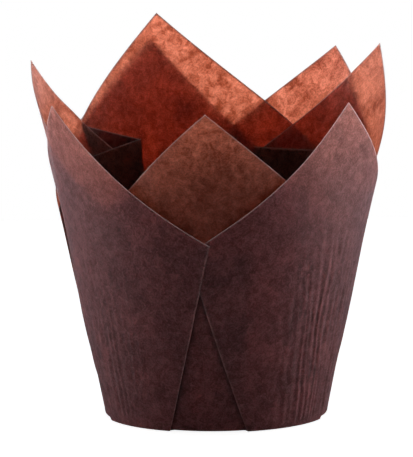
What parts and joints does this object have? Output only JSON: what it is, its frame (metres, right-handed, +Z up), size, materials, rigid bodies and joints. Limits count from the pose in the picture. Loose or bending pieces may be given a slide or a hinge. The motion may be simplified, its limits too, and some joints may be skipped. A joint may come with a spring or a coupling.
{
  "type": "tulip baking cup",
  "caption": "Pleated paper baking cup with pointed upright petals, folded from square sheets laid crosswise and pressed over a round base.",
  "frame": {"origin": "middle of the round base, on its flat underside", "axes": "+Z up out of the cup's mouth, -Y towards the front of the picture, +X to its right"},
  "size_m": [0.0807, 0.0817, 0.0875],
  "materials": {
    "outer_paper": "matte",
    "inner_paper": "matte"
  },
  "bodies": {
    "root": {"outer_sheet": "outer_paper", "inner_sheet": "inner_paper"}
  },
  "joints": []
}
